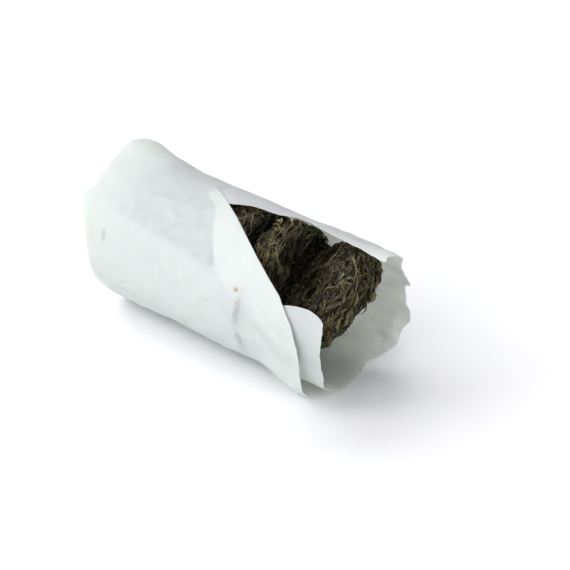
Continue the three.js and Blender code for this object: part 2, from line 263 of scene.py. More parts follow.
# %% Dents and creases
# Creases that were pressed in by hand: (angle, x) of both ends, the depth, and how far it fades out
# on the steep side and on the gentle side
CREASES = [((71, 51.8), (99, 50.6), 1.25, 0.35, 4.0), ((99, 50.6), (127, 51.2), 1.25, 0.35, 4.0),
           ((84, 56), (104, 68), 0.5, 0.5, 1.5), ((128, 18), (150, 40), 0.4, 0.6, 1.5),
           ((60, -6), (96, -1.5), 0.5, 0.7, 2.0), ((110, 30), (140, 27), 0.4, 0.5, 1.5),
           ((92, 8), (118, 16), 0.35, 0.5, 1.5), ((98, 38), (122, 42), 0.35, 0.5, 1.5)]
# Sizes and heights of the rest in mm. The streaks where the mouth was gripped run along the roll
DENT_SIZE = 15
DENT_HEIGHT = 0.4
FOLD_SIZE = 8
FOLD_HEIGHT = 0.65
CRINKLE_SIZE = 3.4
CRINKLE_HEIGHT = 0.26
STREAK_LENGTH = 26
STREAKS_ROUND = 4.2
STREAK_HEIGHT = 2.1
NOISE_MEAN = 0.25


def pressed_creases(angle, x):
    arc = PAPER_RADIUS * np.radians(angle)
    depth = np.zeros_like(x)
    for (angle_a, x_a), (angle_b, x_b), deep, steep, gentle in CREASES:
        start = np.array([PAPER_RADIUS * math.radians(angle_a), x_a])
        run = np.array([PAPER_RADIUS * math.radians(angle_b), x_b]) - start
        share = ((arc - start[0]) * run[0] + (x - start[1]) * run[1]) / (run @ run)
        share = np.clip(share, 0, 1)
        away = np.hypot(arc - start[0] - share * run[0], x - start[1] - share * run[1])
        side = run[0] * (x - start[1]) - run[1] * (arc - start[0])
        fades = np.where(side > 0, gentle, steep)
        depth = np.maximum(depth, deep * np.exp(-away / fades) * (0.4 + 0.6 * np.sin(math.pi * share)))
    return depth


def handling(angle, x):
    """How strongly the sheet was handled at a place: least over the coins' top, most at the mouth."""
    at = angle % 360
    front = smooth_step(at, 55, 95) * (1 - smooth_step(at, 200, 250))
    closed = 1 - smooth_step(x, -6, 8)
    mouth = smooth_step(x, 52, 76) * smooth_step(at, 190, 240) * (1 - smooth_step(at, 325, 350))
    return 0.45 + 0.45 * front + 0.5 * closed + 1.3 * mouth


def folded_noise(angle, x):
    """Noise folded at zero, from 0 up: large folds, fine crinkle, and streaks along the roll."""
    places = around_roll(x, angle, PAPER_RADIUS)
    turn = np.radians(angle)
    across = [STREAKS_ROUND * np.sin(turn), STREAKS_ROUND * np.cos(turn)]
    folds = np.abs(noise_field(places, FOLD_SIZE, 31.0))
    crinkle = np.abs(noise_field(places, CRINKLE_SIZE, 77.0))
    streaks = np.abs(noise_field(np.stack([x / STREAK_LENGTH, *across], axis=-1), 1, 11.0))
    return folds, crinkle, streaks


def relief(angle, x):
    """Dents and creases in mm, outward from the roll's axis."""
    folds, crinkle, streaks = folded_noise(angle, x)
    handled = DENT_HEIGHT * noise_field(around_roll(x, angle, PAPER_RADIUS), DENT_SIZE)
    handled = handled + FOLD_HEIGHT * (NOISE_MEAN - folds) + CRINKLE_HEIGHT * (NOISE_MEAN - crinkle)
    drawn = STREAK_HEIGHT * (NOISE_MEAN - streaks) * smooth_step(x, 46, 76)
    behind = smooth_step(angle % 360, 185, 230) * (1 - smooth_step(angle % 360, 320, 345))
    return handling(angle, x) * handled + drawn * behind - pressed_creases(angle % 360, x)


def painted_crease_shade(angle, x):
    """How much painted grey shade the tissue gets at a place along sharp folds, from 0 to 1."""
    folds, crinkle, streaks = folded_noise(angle, x)
    drawn = np.exp(-streaks / 0.1) * smooth_step(x, 50, 70)
    # Painted shade: grey along the sharp ridges of the fold noise, the drawn streaks and the pressed
    # creases
    broken = 0.45 * np.exp(-folds / 0.1) + 0.3 * np.exp(-crinkle / 0.12) + 0.6 * drawn
    return np.clip(handling(angle, x) * broken + 0.8 * pressed_creases(angle % 360, x), 0, 1)


print("deepest pressed crease:", max(crease[2] for crease in CREASES), "mm")

# %% [markdown]
# The same lines then place every point of the grid: rows near the middle of the closed end lie in its
# pleated tuck, the next rows go round the folded rim, and the rest run along the wall to the mouth or
# to the flap's slanting edge, where the last rows turn back inside as the folded margin.

# %% Rolling a point of the sheet
TUCK_ROWS = 24
FOLD_ROWS = 8
CLOSED_ROWS = 26
OPEN_ROWS = 62
MARGIN_ROWS = 20
WALL_ROW = TUCK_ROWS + FOLD_ROWS
SPLIT_ROW = WALL_ROW + CLOSED_ROWS
EDGE_ROW = SPLIT_ROW + OPEN_ROWS
TUCK_TURN = 215
PAPER_WALL = 0.12
UNDER_FLAP = 0.35
RAGGED = 0.3


def layer_offset(angle):
    return LAYER_PITCH * (angle - SHEET_START) / 360


def rim_x(angle):
    return rounded_line(RIM, angle % 360, 1.5)


def stands_out(angle, x):
    """How far the sheet stands out at the back of its top, where no coin holds it."""
    back_of_top = smooth_step(angle, 296, 322) * (1 - smooth_step(angle, 345, 368))
    return rounded_line(TOP_LINE, x, 1.5) * back_of_top


def tucked(angle, share):
    """The closed end from its middle, at share 0, out to where the fold begins."""
    offset = layer_offset(angle)
    bend = FOLD_RADIUS + offset
    bend_x = rim_x(angle) + FOLD_RADIUS
    turn = math.radians(TUCK_TURN)
    start_x = bend_x + bend * math.cos(turn)
    start_radius = PAPER_RADIUS - FOLD_RADIUS + stands_out(angle, bend_x) + bend * math.sin(turn)
    radius = 0.5 + (start_radius - 0.5) * share
    x = (TUCK_X - offset) * (1 - share ** 2) + start_x * share ** 2
    x += 1.0 * (1 - smooth_step(radius, 0.5, TUCK_HOLE + 0.4))
    uneven = 0.6 * np.sin(np.radians(angle * 2 + 40)) + 0.4 * np.sin(np.radians(angle * 5))
    phase = PLEATS * np.radians(angle) + uneven + 1.6 * (1 - share)
    pleat = np.arcsin(np.sin(phase)) / (math.pi / 2)
    x += PLEAT_DEPTH * pleat * np.sin(math.pi * share ** 0.8) * smooth_step(radius, 1, 5)
    return around_roll(x, angle + 6 * pleat * (1 - share) * share, radius)


def folded_rim(angle, share):
    """Round the folded rim, from the tuck at share 0 to the wall at share 1."""
    bend = FOLD_RADIUS + layer_offset(angle)
    bend_x = rim_x(angle) + FOLD_RADIUS
    turn = np.radians(TUCK_TURN - (TUCK_TURN - 90) * share)
    radius = PAPER_RADIUS - FOLD_RADIUS + stands_out(angle, bend_x) + bend * np.sin(turn)
    radius += share * relief(angle, bend_x)
    return around_roll(bend_x + bend * np.cos(turn), angle, radius)


def mouth_bend(angle, x):
    """How far the inner turn bends out at the back of the mouth, and in at its front."""
    at_back = smooth_step(angle, 200, 260) * (1 - smooth_step(angle, 285, 310))
    at_front = 1 - smooth_step(angle, 105, 150)
    outward = MOUTH_FLARE * smooth_step(x, 66, 82) * at_back
    return outward - MOUTH_CURL * smooth_step(x, 66, 86) * at_front


def side_wall(angle, x, inset):
    """A place on the wall of the roll, with its edges torn and flared as the mouth is."""
    inner = angle <= SHEET_TOP
    at_seam = (along_line(SEAM, x) - SHEET_START) * (1 - smooth_step(angle, SHEET_START, 95))
    ragged = RAGGED * noise_field(np.stack([x, 0 * x, 0 * x], axis=-1), 1.3, 5.0) * 3
    at_tear = (rounded_line(TORN_TOP, x, 0.6) - SHEET_TOP + ragged * smooth_step(x, 23, 26))
    at = angle + inner * (at_seam + at_tear * smooth_step(angle, 300, SHEET_TOP))
    radius = PAPER_RADIUS + layer_offset(angle) + stands_out(angle, x) + relief(at, x) - inset
    under_flap = smooth_step(angle, 320, SHEET_TOP) * smooth_step(x, SPLIT_X - 0.5, SPLIT_X + 1.5)
    radius -= inner * UNDER_FLAP * under_flap * (1 - smooth_step(x, 31, 36))
    flap_flare = FLAP_FLARE * smooth_step(x, 54, 71) * smooth_step(angle, 450, 505)
    radius += inner * mouth_bend(angle, x) + ~inner * flap_flare
    return around_roll(x, at, radius)


def sheet_points(angle, row, end_x, margin):
    """Places for grid points at an angle along the winding and a row along the roll."""
    bend_x = rim_x(angle) + FOLD_RADIUS
    closed_x = bend_x + (SPLIT_X - bend_x) * (row - WALL_ROW) / CLOSED_ROWS
    open_x = SPLIT_X + (end_x - SPLIT_X) * (row - SPLIT_ROW) / OPEN_ROWS
    back_x = end_x - margin * (row - EDGE_ROW) / MARGIN_ROWS
    x = np.where(row <= SPLIT_ROW, closed_x, np.where(row <= EDGE_ROW, open_x, back_x))
    inset = np.where(row > EDGE_ROW, MARGIN_GAP * smooth_step(row - EDGE_ROW, 0, 2), 0)
    places = side_wall(angle, x, inset)
    in_tuck = row < TUCK_ROWS
    places[in_tuck] = tucked(angle[in_tuck], row[in_tuck] / TUCK_ROWS)
    in_fold = (row >= TUCK_ROWS) & (row < WALL_ROW)
    places[in_fold] = folded_rim(angle[in_fold], (row[in_fold] - TUCK_ROWS) / FOLD_ROWS)
    lowest = PAPER_WALL + (angle < 360) * FLOOR_LAYER_PITCH
    places[:, 2] = np.maximum(places[:, 2], lowest)
    return places


print("rows from the tuck to the mouth:", EDGE_ROW)

# %% [markdown]
# The sheet is two grids, because the tear parts it: the turn inside, and the flap that covers it. They
# share the column where the tear ends, so they are joined and their doubles merged there. Only then
# does the sheet get its thickness, with a Solidify modifier, so that light passes through it as it
# does through real tissue: once through a single layer, and twice where it lies double.

# %% Making the sheet
COLUMN_ANGLE = 1.5
# The share of light that one face of the sheet passes on, less in the margin, which is pressed double
SHEET_LETS_THROUGH = 0.56
MARGIN_LETS_THROUGH = 0.16


def rolled_grid(name, first, last, end_line, rows, margin_line):
    columns = round((last - first) / COLUMN_ANGLE)
    bpy.ops.mesh.primitive_grid_add(x_subdivisions=columns, y_subdivisions=rows, size=1)
    grid = bpy.context.object
    grid.name = name
    flat = points_of(grid.data)
    angle = first + (last - first) * (flat[:, 0] + 0.5)
    row = np.round((flat[:, 1] + 0.5) * rows)
    ragged_end = noise_field(np.stack([angle, 0 * angle, 0 * angle], axis=-1), 4, 3.0)
    end_x = rounded_line(end_line, angle, 0.7) + (RAGGED * ragged_end if margin_line is None else 0)
    margin = 0 * angle if margin_line is None else along_line(margin_line, angle)
    move_points(grid.data, to_frame(sheet_points(angle, row, end_x, margin)))
    lets_through = np.where(row > EDGE_ROW, MARGIN_LETS_THROUGH, SHEET_LETS_THROUGH)
    add_values(grid.data, "lets_through", "FLOAT", lets_through)
    open_x = SPLIT_X + (end_x - SPLIT_X) * (row - SPLIT_ROW) / OPEN_ROWS
    along_roll = np.where(row < SPLIT_ROW, SPLIT_X * row / SPLIT_ROW, open_x)
    add_values(grid.data, "painted_crease_shade", "FLOAT", painted_crease_shade(angle, along_roll))
    return grid


paper = rolled_grid("paper_sheet", SHEET_START, SHEET_TOP, MOUTH_END, EDGE_ROW, None)
outer_flap = rolled_grid("outer_flap", SHEET_TOP, SHEET_END, FLAP_EDGE, EDGE_ROW + MARGIN_ROWS, MARGIN)
only(paper)
outer_flap.select_set(True)
bpy.ops.object.join()
set_mode("EDIT")
bpy.ops.mesh.select_all(action="SELECT")
bpy.ops.mesh.remove_doubles(threshold=0.00001)
set_mode("OBJECT")
wall = paper.modifiers.new("wall", "SOLIDIFY")
wall.thickness = PAPER_WALL * MM
wall.offset = 0
only(paper)
bpy.ops.object.modifier_apply(modifier="wall")
bpy.ops.object.shade_smooth_by_angle(angle=math.radians(40))
print("the sheet has", len(paper.data.polygons), "faces")

# %% [markdown]
# ## The paper's finish
# White machine-made tissue, of about 20 grams a square metre: a loose mat of bleached fibres, slightly
# smooth on one side. Light that falls on it is partly sent back and partly let through, which is why
# the dark coins show bluish through one layer. So the shader is a matt coat mixed with Translucent,
# and it passes less where the fibres lie thicker. Along sharp creases a painted grey shade is mixed
# into its colour. A few specks and a smudge sit on the front.

# %% White tissue paper
# Marks on the front: (angle, x), half sizes across and along the roll in mm, strength, colour
MARKS = [((72, -0.5), (0.8, 2.2), 0.9, "#7f8985"), ((104, 7.5), (0.6, 0.6), 0.8, "#97938b"),
         ((84, 40.8), (0.6, 0.5), 0.8, "#918f87"), ((66, 50.0), (1.3, 0.9), 1.3, "#e0ad7c"),
         ((66.5, 50.1), (0.45, 0.4), 1.3, "#84603f")]
FIBRE_CLOUD = 3.0
FIBRE_GRAIN = 0.55
# How strongly the painted crease shade greys the tissue
CREASE_SHADE_STRENGTH = 0.3

tissue = new_material("white tissue paper")
tree = tissue.node_tree
place = add_node(tree, "ShaderNodeTexCoord")
cloud = noise_texture(tree, place.outputs["Object"], 1 / (FIBRE_CLOUD * MM), 4.0, 0.6)
grain = noise_texture(tree, place.outputs["Object"], 1 / (FIBRE_GRAIN * MM), 2.0, 0.5)
fibres = add_node(tree, "ShaderNodeMix", {"Factor": 0.45, "A": cloud, "B": grain}, data_type="FLOAT")
sheet_colour = add_node(tree, "ShaderNodeValToRGB", {"Fac": fibres.outputs[0]},
                        stops=[(0.3, "#f0f7fb"), (0.7, "#fbfeff")]).outputs["Color"]
crease_shade_amount = add_node(tree, "ShaderNodeAttribute", attribute_name="painted_crease_shade")
# Painted grey shade along the creases, mixed into the tissue's colour
crease_shade_share = add_node(tree, "ShaderNodeMath", {0: crease_shade_amount.outputs["Fac"], 1: CREASE_SHADE_STRENGTH},
                  operation="MULTIPLY")
sheet_colour = add_node(tree, "ShaderNodeMix", {"Factor": crease_shade_share.outputs["Value"], "A": sheet_colour,
                        "B": linear("#b9c3c4")}, data_type="RGBA").outputs[2]
for (mark_angle, mark_x), (across, along), strength, colour in MARKS:
    mark_radius = PAPER_RADIUS + layer_offset(mark_angle + 360)
    spot = to_frame(around_roll(np.array(mark_x), mark_angle, mark_radius))
    away = add_node(tree, "ShaderNodeVectorMath", {0: place.outputs["Object"], 1: tuple(spot)},
                    operation="SUBTRACT")
    half_sizes = (across * MM, along * MM, along * MM)
    sized = add_node(tree, "ShaderNodeVectorMath", {0: away.outputs["Vector"], 1: half_sizes},
                     operation="DIVIDE")
    length = add_node(tree, "ShaderNodeVectorMath", {0: sized.outputs["Vector"]}, operation="LENGTH")
    inside = map_range(tree, length.outputs["Value"], (0.4, 1.3), (strength, 0.0),
                       interpolation_type="SMOOTHSTEP")
    broken = add_node(tree, "ShaderNodeMath", {0: inside, 1: cloud}, operation="MULTIPLY")
    sheet_colour = add_node(tree, "ShaderNodeMix", {"Factor": broken.outputs["Value"],
                            "A": sheet_colour, "B": linear(colour)}, data_type="RGBA").outputs[2]
crinkle = add_node(tree, "ShaderNodeBump", {"Height": fibres.outputs[0], "Strength": 0.5,
                   "Distance": 0.1 * MM})
coat = add_node(tree, "ShaderNodeBsdfPrincipled", {"Base Color": sheet_colour, "Roughness": 0.7,
                "Specular IOR Level": 0.3, "Normal": crinkle.outputs["Normal"]})
through = add_node(tree, "ShaderNodeBsdfTranslucent", {"Color": linear("#fcfdf4")})
passes = add_node(tree, "ShaderNodeAttribute", attribute_name="lets_through")
thinness = map_range(tree, fibres.outputs[0], (0.36, 0.64), (0.86, 1.14))
passed = add_node(tree, "ShaderNodeMath", {0: passes.outputs["Fac"], 1: thinness},
                  operation="MULTIPLY")
mixed = add_node(tree, "ShaderNodeMixShader",
                 {0: passed.outputs["Value"], 1: coat.outputs["BSDF"], 2: through.outputs["BSDF"]})
add_node(tree, "ShaderNodeOutputMaterial", {"Surface": mixed.outputs["Shader"]})
paper.data.materials.append(tissue)
print("the tissue has", len(tree.nodes), "nodes")

# %% [markdown]
# ## The tea leaf, modelled once
# A coin is pressed from whole leaves that were rolled by hand and dried in the sun: twisted strips,
# a few flat blades, pale hairy buds and thin stalks. Each kind is modelled once as a closed pointed
# tube, one unit long, from a cylinder whose long edges are subdivided, and it is bent along its own
# path for every leaf in a coin. Only few faces are needed, because a coin holds hundreds.

# %% Leaf blanks
LEAF_SIDES = 6
LEAF_STATIONS = 10


def leaf_blank():
    """A closed unit tube along X with a ring of points at each station."""
    bpy.ops.object.select_all(action="DESELECT")
    bpy.ops.mesh.primitive_cylinder_add(vertices=LEAF_SIDES, radius=1, depth=1, end_fill_type="TRIFAN",
                                        rotation=(0, math.pi / 2, 0))
    bpy.ops.object.transform_apply(location=False, rotation=True, scale=False)
    blank = bpy.context.object
    set_mode("EDIT")
    bpy.ops.mesh.select_mode(type="EDGE")
    bpy.ops.mesh.select_all(action="DESELECT")
    set_mode("OBJECT")
    for edge in blank.data.edges:
        first, second = (blank.data.vertices[at].co for at in edge.vertices)
        edge.select = abs(first.x - second.x) > 0.5
    set_mode("EDIT")
    bpy.ops.mesh.subdivide(number_cuts=LEAF_STATIONS - 2)
    set_mode("OBJECT")
    places = points_of(blank.data)
    faces = [tuple(face.vertices) for face in blank.data.polygons]
    mesh = blank.data
    bpy.data.objects.remove(blank)
    bpy.data.meshes.remove(mesh)
    station = np.round((places[:, 0] + 0.5) * (LEAF_STATIONS - 1)).astype(int)
    return station, places[:, 1], places[:, 2], faces


blank_station, blank_side, blank_up, blank_faces = leaf_blank()
print("a leaf blank has", len(blank_faces), "faces")

# %% [markdown]
# A leaf's width along its length and the form of its section make it a rolled strip, a blade, a bud or
# a stalk. Widths and lengths are real sizes in millimetres, read off the photograph against the coin.

# %% Kinds of leaf
# Length and width are in mm; depth, fold and twist are shares of the width and turns in radians
KINDS = {
    "rolled": {"share": 0.44, "length": (5, 12), "width": (0.6, 1.25), "depth": 0.55, "fold": 0.25,
               "twist": 1.6, "golden": 0.13},
    "blade": {"share": 0.16, "length": (3.5, 7), "width": (1.3, 2.6), "depth": 0.14, "fold": 0.4,
               "twist": 0.9, "golden": 0.05},
    "chip": {"share": 0.24, "length": (1.5, 4), "width": (0.6, 1.6), "depth": 0.35, "fold": 0.3,
               "twist": 1.0, "golden": 0.1},
    "bud": {"share": 0.06, "length": (3.5, 7), "width": (0.5, 1.0), "depth": 0.7, "fold": 0.05,
               "twist": 0.5, "golden": 0.8},
    "stalk": {"share": 0.10, "length": (5, 12), "width": (0.35, 0.7), "depth": 0.9, "fold": 0.1,
               "twist": 0.8, "golden": 0.2},
}
CRUMPLE = 0.12
ALONG = np.linspace(0, 1, LEAF_STATIONS)
OUTLINES = {
    "rolled": np.sin(math.pi * ALONG) ** 0.55 * (0.85 + 0.15 * np.cos(9 * ALONG)),
    "blade": np.sin(math.pi * ALONG ** 0.85) ** 0.8,
    "chip": np.sin(math.pi * ALONG) ** 0.4 * (0.8 + 0.2 * np.cos(7 * ALONG)),
    "bud": np.sin(math.pi * ALONG ** 1.4) ** 0.7,
    "stalk": 0.25 + 0.75 * np.sin(math.pi * ALONG) ** 0.25,
}


def leaf_section(kind):
    """Across and up of every point of a leaf, for a half width of 1."""
    sort = KINDS[kind]
    turn = np.arctan2(blank_up, blank_side)
    rim = np.hypot(blank_side, blank_up)
    wide = np.maximum(OUTLINES[kind], 0.04)[blank_station]
    grooved = np.cos(3 * turn + 1.5 * blank_station / LEAF_STATIONS) > 0.55
    groove = 1 - 0.3 * grooved * (sort["depth"] > 0.3)
    across = rim * np.cos(turn) * wide
    up = rim * np.sin(turn) * wide * sort["depth"] * groove
    up += sort["fold"] * np.abs(across) * (rim > 0.5)
    return across, up


sections = {kind: leaf_section(kind) for kind in KINDS}
print("kinds of leaf:", ", ".join(KINDS))

# %% [markdown]
# ## The coin's surface
# Leaves have to lie on the face, bend over the rounded edge and run round the side. That is easy if
# one distance is walked from the middle of the face, over the edge and down the side: the disc is
# then one flat map, and a leaf is a short curve on it.

# %% Walking over a coin
EDGE_ROUND = 1.4
DIMPLE_RADIUS = 6.5
DIMPLE_DEPTH = 1.7


def dimple(distance):
    return DIMPLE_DEPTH * (1 - smooth_step(distance, 0.35 * DIMPLE_RADIUS, 1.5 * DIMPLE_RADIUS))


def over_coin(walked, radius, thickness):
    """Distance from the axis, height and outward direction after walking out from the middle."""
    flat = radius - EDGE_ROUND
    arc = math.pi / 2 * EDGE_ROUND
    turn = np.clip((walked - flat) / EDGE_ROUND, 0, math.pi / 2)
    down = np.maximum(walked - flat - arc, 0)
    distance = np.minimum(walked, flat) + EDGE_ROUND * np.sin(turn)
    height = thickness / 2 - EDGE_ROUND * (1 - np.cos(turn)) - down - dimple(distance)
    slope = (dimple(distance + 0.2) - dimple(distance - 0.2)) / 0.4
    outward = np.sin(turn) + slope * (turn == 0)
    upward = np.cos(turn)
    size = np.hypot(outward, upward)
    return distance, height, outward / size, upward / size


print("the walk to the edge is", round(19.4 - EDGE_ROUND + math.pi / 2 * EDGE_ROUND, 1), "mm")

# %% [markdown]
# ## Strewing the leaves
# In the press the leaves swirl round the dimple, and at the side they lie along the rim. So each leaf
# starts at a random place of the map and heads round the middle. Neighbours stray alike, as wisps in a
# handful of leaf do, so a smooth noise turns them. A leaf's ends sink into the coin, its middle rides
# up, and a few stand proud. The leaf at the side is slimmer, lighter and more golden than on the faces.

# %% A layer of leaves
# Sizes in mm. A stray, in radians, has its value at the side and what the face adds
WISP_SIZE = 7.0
WISP_STRAY = (0.5, 1.6)
LEAF_STRAY = (0.14, 0.16)
LUMP_SIZE = 3.2
LUMP_HEIGHT = 0.6
SIDE_TONE = 0.05
SIDE_GOLD = 0.66
SIDE_SLIM = 0.4
PROUD_SHARE = 0.05
PROUD_LIFT = (0.4, 1.3)
GRAIN_ROUND = 1.4
GRAIN_ALONG = 0.16


def random_between(random, limits, count):
    return random.uniform(limits[0], limits[1], count)


def leaf_paths(random, count, length, radius, out_to):
    """Curves on the flat map of a coin's side, as points at the stations of every leaf."""
    start = out_to * np.sqrt(random.uniform(0.004, 1, count))
    bearing = random.uniform(0, 2 * math.pi, count)
    x = start * np.cos(bearing)
    y = start * np.sin(bearing)
    on_face = 1 - smooth_step(start, radius - 3, radius)
    drift = noise_field(np.stack([x, y, 0 * x], axis=-1), WISP_SIZE, random.uniform(0, 99))
    own_stray = random.normal(0, 1, count) * (LEAF_STRAY[0] + LEAF_STRAY[1] * on_face)
    stray = drift * (WISP_STRAY[0] + WISP_STRAY[1] * on_face) + own_stray
    heading = bearing + math.pi / 2 + 0.15 + stray
    curl = 1 / np.maximum(start, 6) + random.normal(0, 0.03, count)
    step = length / (LEAF_STATIONS - 1)
    track = []
    for station in range(LEAF_STATIONS):
        track.append(np.stack([x, y], axis=-1))
        x = x + step * np.cos(heading)
        y = y + step * np.sin(heading)
        heading = heading + curl * step + random.normal(0, 0.12, count)
    track = np.stack(track, axis=1)
    middle = track[:, LEAF_STATIONS // 2: LEAF_STATIONS // 2 + 1]
    wanted = np.stack([start * np.cos(bearing), start * np.sin(bearing)], axis=-1)[:, None]
    return track - middle + wanted


def lay_leaves(random, kind, count, radius, thickness, out_to, lift, painted_face_shade):
    """Points of the leaves of one kind in the coin's own frame, and what the finish reads at each."""
    sort = KINDS[kind]
    length = random_between(random, sort["length"], count)
    width = random_between(random, sort["width"], count)
    flat = leaf_paths(random, count, length, radius, out_to)
    walked = np.hypot(flat[..., 0], flat[..., 1])
    bearing = np.arctan2(flat[..., 1], flat[..., 0])
    distance, height, outward, upward = over_coin(walked, radius, thickness)
    normal = np.stack([outward * np.cos(bearing), outward * np.sin(bearing), upward], axis=-1)
    line = np.stack([distance * np.cos(bearing), distance * np.sin(bearing), height], axis=-1)
    rise = random_between(random, lift, count)[:, None]
    rise = rise + random.normal(0, 0.16, count)[:, None] * (ALONG - 0.5)
    proud = random_between(random, PROUD_LIFT, count)
    proud *= random.uniform(0, 1, count) < PROUD_SHARE
    rise += proud[:, None]
    rise += LUMP_HEIGHT * noise_field(line.reshape(-1, 3), LUMP_SIZE, 40.0).reshape(rise.shape)
    dive = random_between(random, (0.05, 0.55), count)[:, None] * np.abs(2 * ALONG - 1) ** 5
    line = line + normal * (rise - dive)[..., None]
    ahead = np.gradient(line, axis=1)
    ahead /= np.linalg.norm(ahead, axis=-1, keepdims=True) + 1e-9
    side = np.cross(normal, ahead)
    side /= np.linalg.norm(side, axis=-1, keepdims=True) + 1e-9
    up = np.cross(ahead, side)
    across, over = sections[kind]
    on_side = smooth_step(walked, radius - 2.2, radius + 0.3)
    width = width * (1 - SIDE_SLIM * on_side.mean(axis=1))
    twist = random.normal(0, 0.3, count)[:, None]
    twist = twist + random.normal(0, sort["twist"], count)[:, None] * (ALONG - 0.5)
    turn = twist[:, blank_station]
    wide = (across * np.cos(turn) - over * np.sin(turn)) * width[:, None] / 2
    high = (across * np.sin(turn) + over * np.cos(turn)) * width[:, None] / 2
    points = line[:, blank_station] + side[:, blank_station] * wide[..., None]
    points += up[:, blank_station] * high[..., None]
    points += CRUMPLE * random.normal(0, 1, points.shape) * (sort["width"][1] > 1)
    # painted_face_shade lowers the tone of the leaves on the coins' faces as painted shade
    tone = random.beta(1.6, 2.2, count)[:, None] + painted_face_shade * (1 - on_side) + SIDE_TONE * on_side
    tone = tone[:, blank_station]
    tip = blank_station[None, :] / (LEAF_STATIONS - 1)
    chance = sort["golden"] * (0.7 + 1.5 * on_side.mean(axis=1, keepdims=True))
    golden = random.uniform(0, 1, count)[:, None] < chance
    bud = kind == "bud"
    gold = golden * (0.75 if bud else 1.0) * smooth_step(tip, 0.0 if bud else 0.45, 0.95)
    side_gold = on_side * random.uniform(0.4, 1.1, (count, 1))
    gold = np.maximum(gold, SIDE_GOLD * side_gold[:, blank_station])
    around = np.arctan2(blank_up, blank_side)
    round_leaf = [GRAIN_ROUND * np.cos(around)[None, :], GRAIN_ROUND * np.sin(around)[None, :]]
    grain = np.stack(np.broadcast_arrays(*round_leaf, tip * length[:, None] * GRAIN_ALONG), axis=-1)
    grain = grain + random.uniform(0, 900, count)[:, None, None]
    return points.reshape(-1, 3), tone.ravel(), gold.ravel(), grain.reshape(-1, 3)


print("leaves are laid by their kind")

# %% [markdown]
# The body of a coin, under its leaves, is a mass of broken leaf, kept near black as painted shade in the
# gaps between the leaves. Its profile is spun round the axis, as a potter would, and roughened with
# noise. Hundreds of leaves then lie on it, as one mesh.

# %% The body of a coin
BODY_STEPS = 72
BODY_INSET = 0.6


def coin_body(name, radius, thickness, seed):
    """A spun, roughened disc with a dimple in both faces."""
    walks = np.concatenate([np.linspace(0.01, radius - EDGE_ROUND, 16),
                            radius - EDGE_ROUND + np.linspace(0.3, math.pi / 2 * EDGE_ROUND, 5)])
    distance, height, _, _ = over_coin(walks, radius, thickness)
    outline = list(zip(distance, height)) + list(zip(distance[::-1], -height[::-1]))
    outline[0] = (0.0, outline[0][1])
    outline[-1] = (0.0, outline[-1][1])
    mesh = bpy.data.meshes.new(name)
    mesh.from_pydata([(across, 0, up) for across, up in outline],
                     [(at, at + 1) for at in range(len(outline) - 1)], [])
    body = bpy.data.objects.new(name, mesh)
    bpy.context.scene.collection.objects.link(body)
    only(body)
    set_mode("EDIT")
    bpy.ops.mesh.select_all(action="SELECT")
    bpy.ops.mesh.spin(steps=BODY_STEPS, angle=2 * math.pi, center=(0, 0, 0), axis=(0, 0, 1))
    bpy.ops.mesh.select_all(action="SELECT")
    bpy.ops.mesh.remove_doubles(threshold=0.001)
    bpy.ops.mesh.normals_make_consistent(inside=False)
    set_mode("OBJECT")
    places = points_of(body.data)
    rough = 0.55 * noise_field(places, 2.2, seed * 10.0)
    rough += 0.3 * noise_field(places, 0.9, seed * 10.0 + 5)
    middle = np.linalg.norm(places, axis=1, keepdims=True) + 1e-9
    places -= places / middle * (BODY_INSET + 0.5 * rough)[:, None]
    move_points(body.data, places)
    return body


print("a coin's body is spun in", BODY_STEPS, "steps")

# %% [markdown]
# ## The leaf's finish
# Sun-dried leaf is matt to faintly waxy and dark: olive to grey brown on the bodies of the leaves, and
# golden tan on the hairy buds and leaf tips. The body under them is near black, as painted shade in the
# gaps. Every leaf has its own tone, kept as an attribute, lowered by painted shade on the coins' faces,
# and fine veins run along it, drawn by noise that is stretched along the leaf. A second noise crumples
# all of them alike.

# %% Sun-dried tea leaf
LEAF_CRUMPLE = 0.7
leaf_finish = new_material("sun dried pressed tea leaf")
tree = leaf_finish.node_tree
tone = add_node(tree, "ShaderNodeAttribute", attribute_name="leaf_tone")
gold = add_node(tree, "ShaderNodeAttribute", attribute_name="leaf_gold")
grain = add_node(tree, "ShaderNodeAttribute", attribute_name="leaf_grain")
place = add_node(tree, "ShaderNodeTexCoord")
veins = noise_texture(tree, grain.outputs["Vector"], 4.0, 4.0, 0.7)
crumple = noise_texture(tree, place.outputs["Object"], 1 / (LEAF_CRUMPLE * MM), 3.0, 0.7)
mottle = add_node(tree, "ShaderNodeMix", {"Factor": 0.5, "A": veins, "B": crumple}, data_type="FLOAT")
spread = map_range(tree, mottle.outputs[0], (0.36, 0.64), (-0.42, 0.42))
shade = add_node(tree, "ShaderNodeMath", {0: tone.outputs["Fac"], 1: spread}, operation="ADD",
                 use_clamp=True)
body_colour = add_node(tree, "ShaderNodeValToRGB", {"Fac": shade.outputs["Value"]},
                       stops=[(0.0, "#201e15"), (0.22, "#322f22"), (0.42, "#433f2e"), (0.62, "#57523d"),
                              (0.82, "#6b664b"), (1.0, "#887f5e")])
streak = add_node(tree, "ShaderNodeMath", {0: mottle.outputs[0], 1: gold.outputs["Fac"]},
                  operation="MULTIPLY")
golden = map_range(tree, streak.outputs["Value"], (0.3, 0.6), (0.0, 0.9))
leaf_colour = add_node(tree, "ShaderNodeMix", {"Factor": golden, "A": body_colour.outputs["Color"],
                       "B": linear("#ac9354")}, data_type="RGBA")
ribs = add_node(tree, "ShaderNodeBump", {"Height": mottle.outputs[0], "Strength": 0.9,
                "Distance": 0.35 * MM})
waxy = map_range(tree, veins, (0.3, 0.7), (0.45, 0.75))
